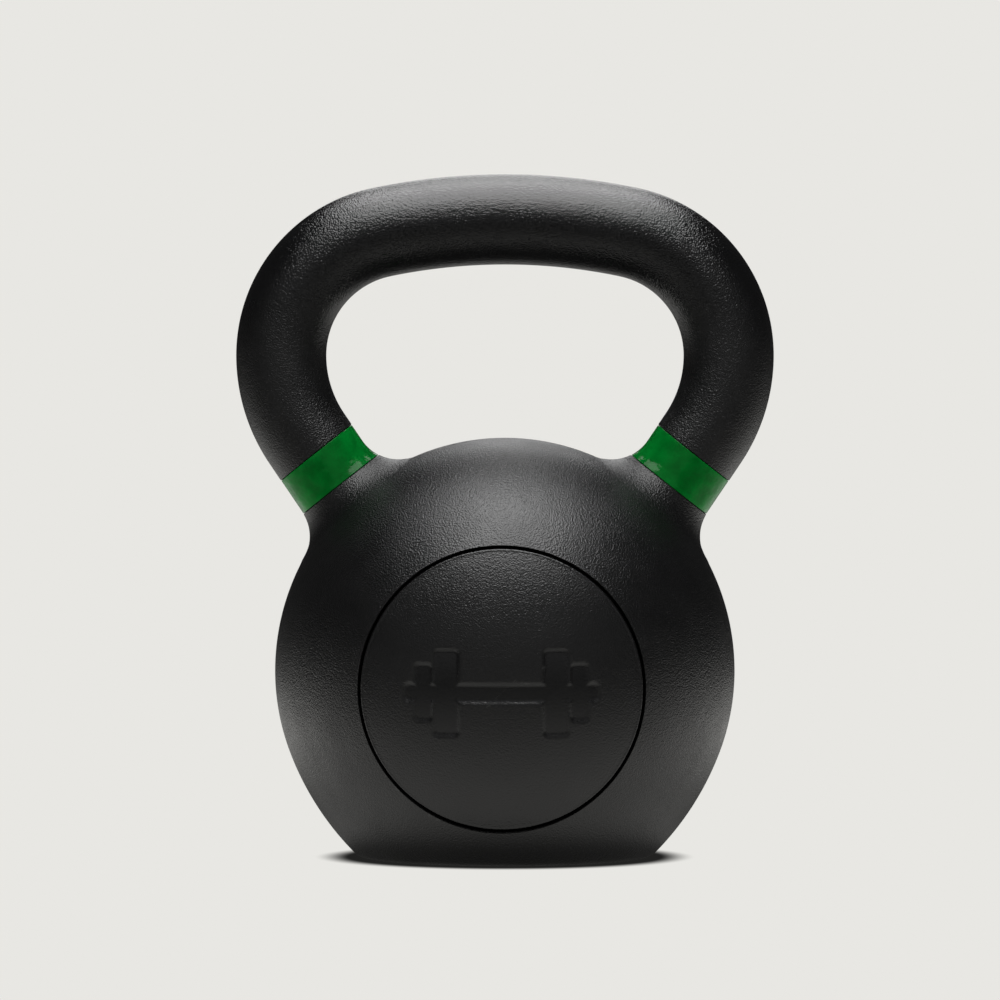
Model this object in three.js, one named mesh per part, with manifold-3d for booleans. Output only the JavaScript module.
// A kettlebell: one iron casting (ball, two horns and grip), a colour band let into a groove round
// each horn, and a domed disc bonded into a pocket on each face of the ball.
// Millimetres, +Z up. The origin is the middle of the flat foot, and the front faces -Y.

import * as THREE from "three";
import { mergeVertices } from "three/addons/utils/BufferGeometryUtils.js";
import Module from "manifold-3d";

const degrees = THREE.MathUtils.degToRad;

// Ball and foot
const ballRadius = 90;
const ballCrownLift = 1.2; // the top stands this much higher than a true sphere's
const footRadius = 57.4; // where the flank would meet the ground if the edge were sharp
const footEdgeRadius = 5; // rounding between the flank and the foot
const flankStart = degrees(20); // below the equator, where the ball passes into its fuller flank
const flankFullness = 22; // how much longer the flank's radius is than the ball's

// Handle
const windowHeight = 67.8; // from the top of the ball to the underside of the grip
const widestRise = 32.3; // from the top of the ball to the level where the handle is widest
const handleReach = 87.6; // from the middle to the handle's centre line at its widest level
const gripRadius = 17.65;
const rootAngle = degrees(34); // between the horn's straight root and the vertical
const rootFillet = 17; // blend between the horn and the ball
const rootSink = 0.3; // the blend's foot dips this far under the ball, so that the two cross cleanly
const rootDepth = 4; // how far the horn goes on below its blend, inside the ball
const sideRadius = 58; // bend of the handle's centre line below its widest level
const crownRadius = 238; // bend of the centre line along the grip

// Colour bands
const bandWidth = 15.45; // along the horn
const bandDrop = 4.4; // how far the band reaches down past the top of the root blend
const bandLean = degrees(4.5); // the band's edges lean out from square to the horn
const bandThickness = 1;
const bandInset = 0.1; // below the horn's surface
const bandSeam = 0.5; // where the two ends of the strip meet, at the back of the horn

// Discs
const discRadius = 54;
const discThickness = 4;
const discTilt = degrees(3.2); // the discs face slightly down
const discGap = 1; // ring shaped gap round each disc
const domeEase = 14; // how much flatter a disc's dome is than the ball, as added radius
const adhesiveThickness = 1.1;
const adhesiveSetback = 3; // from the disc's edge to the outer edge of its adhesive ring
const adhesiveWidth = 20; // across the ring

// Emblem: a dumbbell sunk into the front disc, made of upright plates on one bar
const emblemDepth = 1;
const emblemCorner = 1.8;
const barLength = 74;
const barHeight = 7;
const innerPlate = { width: 9.5, height: 33, offset: 21 };
const outerPlate = { width: 7, height: 22, offset: 29.8 };

// Fit between pieces that touch
const fitGap = 0.3;

// Facets
const ballSegments = 48;
const hornSegments = 24;
const domeStep = degrees(5);

// Worked out from the sizes above. Heights above the ball's centre are called rises.
const flankRadius = ballRadius + flankFullness;
const flankCentreX = -flankFullness * Math.cos(flankStart);
const flankCentreRise = flankFullness * Math.sin(flankStart);
const centreHeight = Math.sqrt(flankRadius ** 2 - (footRadius - flankCentreX) ** 2) - flankCentreRise;

const crownLevel = ballRadius + ballCrownLift;
const widestLevel = crownLevel + widestRise;
const crownRise = crownLevel + windowHeight + gripRadius;
const shoulderHeight = crownRise - widestLevel;
const shoulderRadius =
  (2 * crownRadius * shoulderHeight - handleReach ** 2 - shoulderHeight ** 2) /
  (2 * (crownRadius - handleReach));
const shoulderTurn = Math.atan2(crownRadius - shoulderHeight, handleReach - shoulderRadius);

// The root's straight centre line passes the ball's centre this far on the outer side
const sideCentreX = handleReach - sideRadius;
const rootOffset = sideCentreX * Math.cos(rootAngle) + sideRadius - widestLevel * Math.sin(rootAngle);

// Distances along the centre line of one half of the handle, from where it passes the ball's centre
const straightEnd = sideCentreX * Math.sin(rootAngle) + widestLevel * Math.cos(rootAngle);
const sideEnd = straightEnd + sideRadius * rootAngle;
const shoulderEnd = sideEnd + shoulderRadius * shoulderTurn;
const crownMiddle = shoulderEnd + crownRadius * (Math.PI / 2 - shoulderTurn);

const bandStart = blendAt(Math.PI / 2).top - bandDrop;
const bandEnd = bandStart + bandWidth;

const domeRadius = ballRadius + domeEase;
const discEdgeLevel = Math.sqrt(ballRadius ** 2 - discRadius ** 2);
const domeCentre = discEdgeLevel - Math.sqrt(domeRadius ** 2 - discRadius ** 2);
const discBackRadius = domeRadius - discThickness;
const adhesiveFaceRadius = discBackRadius - fitGap;
const adhesiveBackRadius = adhesiveFaceRadius - adhesiveThickness;
const pocketFloorRadius = adhesiveBackRadius - fitGap;

const wasm = await Module();
wasm.setup();

// A closed mesh as a solid that can be joined and cut
function solidOf(geometry) {
  const bare = geometry.clone();
  bare.deleteAttribute("normal");
  bare.deleteAttribute("uv");
  const merged = mergeVertices(bare, 1e-4);
  const corners = merged.index.array;
  const triVerts = [];
  for (let i = 0; i < corners.length; i += 3) {
    const [a, b, c] = corners.slice(i, i + 3);
    // A triangle on the axis of a turned shape has no area once its corners are merged
    if (a !== b && b !== c && c !== a) triVerts.push(a, b, c);
  }
  const vertProperties = new Float32Array(merged.attributes.position.array);
  const mesh = new wasm.Mesh({ numProp: 3, vertProperties, triVerts: new Uint32Array(triVerts) });
  return new wasm.Manifold(mesh);
}

function geometryOf(solid) {
  const { vertProperties, triVerts } = solid.getMesh();
  const geometry = new THREE.BufferGeometry();
  geometry.setAttribute("position", new THREE.BufferAttribute(vertProperties, 3));
  geometry.setIndex(new THREE.BufferAttribute(triVerts, 1));
  geometry.computeVertexNormals();
  return geometry;
}

// Points along an arc, both ends included. Angles run from the radius axis towards the turning axis.
function arc(centreX, centreY, radius, from, to, steps) {
  const points = [];
  for (let i = 0; i <= steps; i++) {
    const angle = from + ((to - from) * i) / steps;
    points.push(new THREE.Vector2(centreX + radius * Math.cos(angle), centreY + radius * Math.sin(angle)));
  }
  return points;
}

// A profile of (radius, height) points turned about +Z
function turned(points, segments) {
  const geometry = new THREE.LatheGeometry(points, segments);
  geometry.rotateX(Math.PI / 2);
  return geometry;
}

// Ball with its fuller lower flank, edge rounding and flat foot
function ballGeometry() {
  const edgeDepth = centreHeight + flankCentreRise - footEdgeRadius;
  const edgeReach = Math.sqrt((flankRadius - footEdgeRadius) ** 2 - edgeDepth ** 2);
  const edgeX = flankCentreX + edgeReach;
  const edgeTurn = -Math.atan2(edgeDepth, edgeReach);
  const axisFoot = new THREE.Vector2(0, 0);
  const edge = arc(edgeX, footEdgeRadius, footEdgeRadius, -Math.PI / 2, edgeTurn, 3);
  const flank = arc(flankCentreX, centreHeight + flankCentreRise, flankRadius, edgeTurn, -flankStart, 5);
  const ball = arc(0, 0, ballRadius, -flankStart, Math.PI / 2, 19);
  for (const point of ball) {
    if (point.y > 0) point.y *= crownLevel / ballRadius;
    point.y += centreHeight;
  }
  return turned([axisFoot, ...edge, ...flank.slice(1), ...ball.slice(1)], ballSegments);
}

// Where the root blend starts and ends, as distances along the centre line. A turn of 0 is the
// handle's outer side, a quarter turn its back and a half turn its inner side. The plane through the
// centre line at that turn cuts the ball in a circle, and the blend is an arc that touches it.
function blendAt(turn) {
  const ball = ballRadius + ballCrownLift / 2 - rootSink;
  const circle = Math.sqrt(ball ** 2 - (rootOffset * Math.sin(turn)) ** 2);
  const reach = gripRadius + rootFillet + rootOffset * Math.cos(turn);
  const top = Math.sqrt((circle + rootFillet) ** 2 - reach ** 2);
  return { top, foot: (top * circle) / (circle + rootFillet) };
}

// Radius of the horn and grip at a distance along the centre line
function hornRadius(along, turn) {
  const below = Math.max(0, blendAt(turn).top - along);
  return gripRadius + rootFillet - Math.sqrt(rootFillet ** 2 - below ** 2);
}

// Place and outward direction of the handle's centre line, in the XZ plane, on the +X half
function centreLine(along) {
  const fromCentre = (x, rise, radius, turn) => ({
    place: arc(x, rise, radius, turn, turn, 1)[0],
    outward: turn,
  });
  if (along <= straightEnd) {
    const onStart = fromCentre(sideCentreX, widestLevel, sideRadius, -rootAngle);
    const back = straightEnd - along;
    onStart.place.x -= back * Math.sin(rootAngle);
    onStart.place.y -= back * Math.cos(rootAngle);
    return onStart;
  }
  if (along <= sideEnd) {
    return fromCentre(sideCentreX, widestLevel, sideRadius, (along - sideEnd) / sideRadius);
  }
  if (along <= shoulderEnd) {
    const turn = (along - sideEnd) / shoulderRadius;
    return fromCentre(handleReach - shoulderRadius, widestLevel, shoulderRadius, turn);
  }
  const turn = Math.PI / 2 - (crownMiddle - along) / crownRadius;
  return fromCentre(0, crownRise - crownRadius, crownRadius, turn);
}

// Numbers from one end of a range to the other, both included
function spread(from, to, steps) {
  return Array.from({ length: steps + 1 }, (_, i) => from + ((to - from) * i) / steps);
}

// A ring round the handle gives, for each turn, its distance along the centre line and its radius.
// This one is square to the centre line, or leans like the band's edges, and may lie under the surface.
function ring(middle, lean = 0, inset = 0) {
  return (turn) => {
    const along = middle - gripRadius * Math.cos(turn) * Math.tan(lean);
    return { along, radius: hornRadius(along, turn) - inset };
  };
}

// Rings joined into a closed surface on one side of the handle or across both: capped at both ends,
// or joined last to first. Each entry is [ring, side], where side is 1 on +X and -1 on -X.
function tube(entries, asLoop) {
  const positions = [];
  const addPoint = ({ along, radius }, turn, side) => {
    const { place, outward } = centreLine(along);
    const offset = radius * Math.cos(turn);
    const x = side * (place.x + offset * Math.cos(outward));
    positions.push(x, radius * Math.sin(turn), place.y + offset * Math.sin(outward) + centreHeight);
  };
  for (const [shape, side] of entries) {
    for (const turn of spread(0, 2 * Math.PI, hornSegments).slice(0, -1)) addPoint(shape(turn), turn, side);
  }
  const lastRing = (entries.length - 1) * hornSegments;
  const pointCount = entries.length * hornSegments;
  const corners = [];
  for (let start = 0; start < (asLoop ? pointCount : lastRing); start += hornSegments) {
    const above = (start + hornSegments) % pointCount;
    for (let k = 0; k < hornSegments; k++) {
      const next = (k + 1) % hornSegments;
      corners.push(start + k, start + next, above + k, start + next, above + next, above + k);
    }
  }
  if (!asLoop) {
    for (const [shape, side] of [entries[0], entries.at(-1)]) {
      addPoint({ along: shape(0).along, radius: 0 }, 0, side);
    }
    for (let k = 0; k < hornSegments; k++) {
      const next = (k + 1) % hornSegments;
      corners.push(pointCount, next, k, pointCount + 1, lastRing + k, lastRing + next);
    }
  }
  const geometry = new THREE.BufferGeometry();
  geometry.setAttribute("position", new THREE.Float32BufferAttribute(positions, 3));
  geometry.setIndex(corners);
  return geometry;
}

// Both horns and the grip as one tube, with a groove of square shoulders for each colour band
function handleGeometry() {
  const grooveDepth = bandInset + bandThickness + fitGap;
  const grooveStart = bandStart - fitGap;
  const grooveEnd = bandEnd + fitGap;
  const insideBall = blendAt(0).foot - rootDepth;
  const blendRings = spread(0, 1, 6).map((share) => (turn) => {
    const along = THREE.MathUtils.lerp(blendAt(turn).foot, ring(grooveStart, bandLean)(turn).along, share);
    return { along, radius: hornRadius(along, turn) };
  });
  const half = [
    () => ({ along: insideBall, radius: gripRadius }),
    ...blendRings,
    ...spread(grooveStart, grooveEnd, 5).map((along) => ring(along, bandLean, grooveDepth)),
    ring(grooveEnd, bandLean),
    ...spread(grooveEnd, sideEnd, 6).slice(1).map((along) => ring(along)),
    ...spread(sideEnd, shoulderEnd, 11).slice(1).map((along) => ring(along)),
    ...spread(shoulderEnd, crownMiddle, 3).slice(1).map((along) => ring(along)),
  ];
  const entries = half.map((shape) => [shape, 1]);
  const otherHalf = half.slice(0, -1).reverse().map((shape) => [shape, -1]);
  return tube([...entries, ...otherHalf], false);
}

// Moves a disc's own frame, with its axis along +Z from the ball's centre, to the front or the back
function faceOutwards(object, side) {
  object.position.set(0, 0, centreHeight);
  object.rotation.set(side * (Math.PI / 2 + discTilt), 0, 0);
  object.updateMatrix();
  return object;
}

// Outline of a dome from one distance off the disc's axis to another, the nearer end first. Domes
// share their rows, so that two domes a gap apart stay that far apart between the rows as well.
function dome(radius, near, far) {
  const from = Math.asin(near / radius);
  const to = Math.asin(far / radius);
  const turns = [from];
  for (let row = Math.ceil(from / domeStep); row * domeStep < to; row++) {
    if (row * domeStep > from) turns.push(row * domeStep);
  }
  turns.push(to);
  return turns.map((turn) => new THREE.Vector2(radius * Math.sin(turn), domeCentre + radius * Math.cos(turn)));
}

// Space cut out of the ball for a disc, its adhesive and the gap round it
function pocketGeometry(side) {
  const reach = discRadius + discGap;
  const mouth = ballRadius + discThickness;
  const rim = [new THREE.Vector2(reach, mouth), new THREE.Vector2(0, mouth)];
  const points = [...dome(pocketFloorRadius, 0, reach), ...rim];
  return turned(points, ballSegments).applyMatrix4(faceOutwards(new THREE.Object3D(), side).matrix);
}

function castingGeometry() {
  const blank = solidOf(ballGeometry()).add(solidOf(handleGeometry()));
  return geometryOf(blank.subtract(solidOf(pocketGeometry(1))).subtract(solidOf(pocketGeometry(-1))));
}

// A strip wrapped once round a horn in its groove, with its seam at the back
function bandGeometry(side) {
  const stops = spread(bandStart, bandEnd, 5);
  const outer = stops.map((along) => ring(along, bandLean, bandInset));
  const inner = stops.map((along) => ring(along, bandLean, bandInset + bandThickness));
  const loop = [...outer, ...inner.reverse()].map((shape) => [shape, side]);
  const strip = solidOf(tube(side > 0 ? loop : loop.reverse(), true));

  const middle = centreLine((bandStart + bandEnd) / 2);
  const reach = 2 * gripRadius;
  const seam = new THREE.BoxGeometry(bandSeam, reach, 2 * bandWidth);
  seam.translate(0, reach / 2, 0);
  seam.rotateY(-side * middle.outward);
  seam.translate(side * middle.place.x, 0, middle.place.y + centreHeight);
  return geometryOf(strip.subtract(solidOf(seam)));
}

// A plate or ring between two domes about the same centre, from one distance off the axis to another
function domedPlate(faceRadius, backRadius, near, far) {
  const face = dome(faceRadius, near, far).reverse();
  const back = dome(backRadius, near, far);
  return turned([...back, ...face, back[0]], ballSegments);
}

function roundedPlate({ width, height, offset }) {
  const right = offset + width / 2;
  const left = offset - width / 2;
  const top = height / 2;
  const shape = new THREE.Shape();
  shape.absarc(right - emblemCorner, top - emblemCorner, emblemCorner, 0, Math.PI / 2);
  shape.absarc(left + emblemCorner, top - emblemCorner, emblemCorner, Math.PI / 2, Math.PI);
  shape.absarc(left + emblemCorner, emblemCorner - top, emblemCorner, Math.PI, 1.5 * Math.PI);
  shape.absarc(right - emblemCorner, emblemCorner - top, emblemCorner, 1.5 * Math.PI, 2 * Math.PI);
  return shape;
}

// The dumbbell outline pushed down through the dome to an even depth
function emblemCut() {
  const options = { depth: 2 * domeRadius, bevelEnabled: false, curveSegments: 2 };
  const upright = (plate) => solidOf(new THREE.ExtrudeGeometry(roundedPlate(plate), options));
  const bar = upright({ width: barLength, height: barHeight, offset: 0 });
  const plates = [innerPlate, outerPlate].flatMap((plate) => [plate, { ...plate, offset: -plate.offset }]);
  const outline = plates.reduce((joined, plate) => joined.add(upright(plate)), bar);
  // What is left of the outline under this floor lies behind the disc, where it cuts nothing
  const floor = domedPlate(domeRadius - emblemDepth, discBackRadius - discThickness, 0, discRadius - discGap);
  return outline.subtract(solidOf(floor));
}

function discPlate() {
  return solidOf(domedPlate(domeRadius, discBackRadius, 0, discRadius));
}

function frontDiscGeometry() {
  return geometryOf(discPlate().subtract(emblemCut()));
}

function rearDiscGeometry() {
  return geometryOf(discPlate());
}

function adhesiveGeometry() {
  const reach = discRadius - adhesiveSetback;
  return geometryOf(solidOf(domedPlate(adhesiveFaceRadius, adhesiveBackRadius, reach - adhesiveWidth, reach)));
}

const coatedIron = new THREE.MeshStandardMaterial({ color: 0x1c1c1d, roughness: 0.55, metalness: 0.1 });
const discCoat = new THREE.MeshStandardMaterial({ color: 0x1b1b1c, roughness: 0.5, metalness: 0.1 });
const greenBand = new THREE.MeshStandardMaterial({ color: 0x0a7a2c, roughness: 0.3, metalness: 0 });
const adhesive = new THREE.MeshStandardMaterial({ color: 0x5c5c58, roughness: 0.9, metalness: 0 });

function named(name, geometry, material) {
  const mesh = new THREE.Mesh(geometry, material);
  mesh.name = name;
  return mesh;
}

const group = new THREE.Group();
group.add(
  named("casting", castingGeometry(), coatedIron),
  named("left_colour_band", bandGeometry(-1), greenBand),
  named("right_colour_band", bandGeometry(1), greenBand),
  faceOutwards(named("front_disc", frontDiscGeometry(), discCoat), 1),
  faceOutwards(named("front_disc_adhesive", adhesiveGeometry(), adhesive), 1),
  faceOutwards(named("rear_disc", rearDiscGeometry(), discCoat), -1),
  faceOutwards(named("rear_disc_adhesive", adhesiveGeometry(), adhesive), -1),
);

export default group;
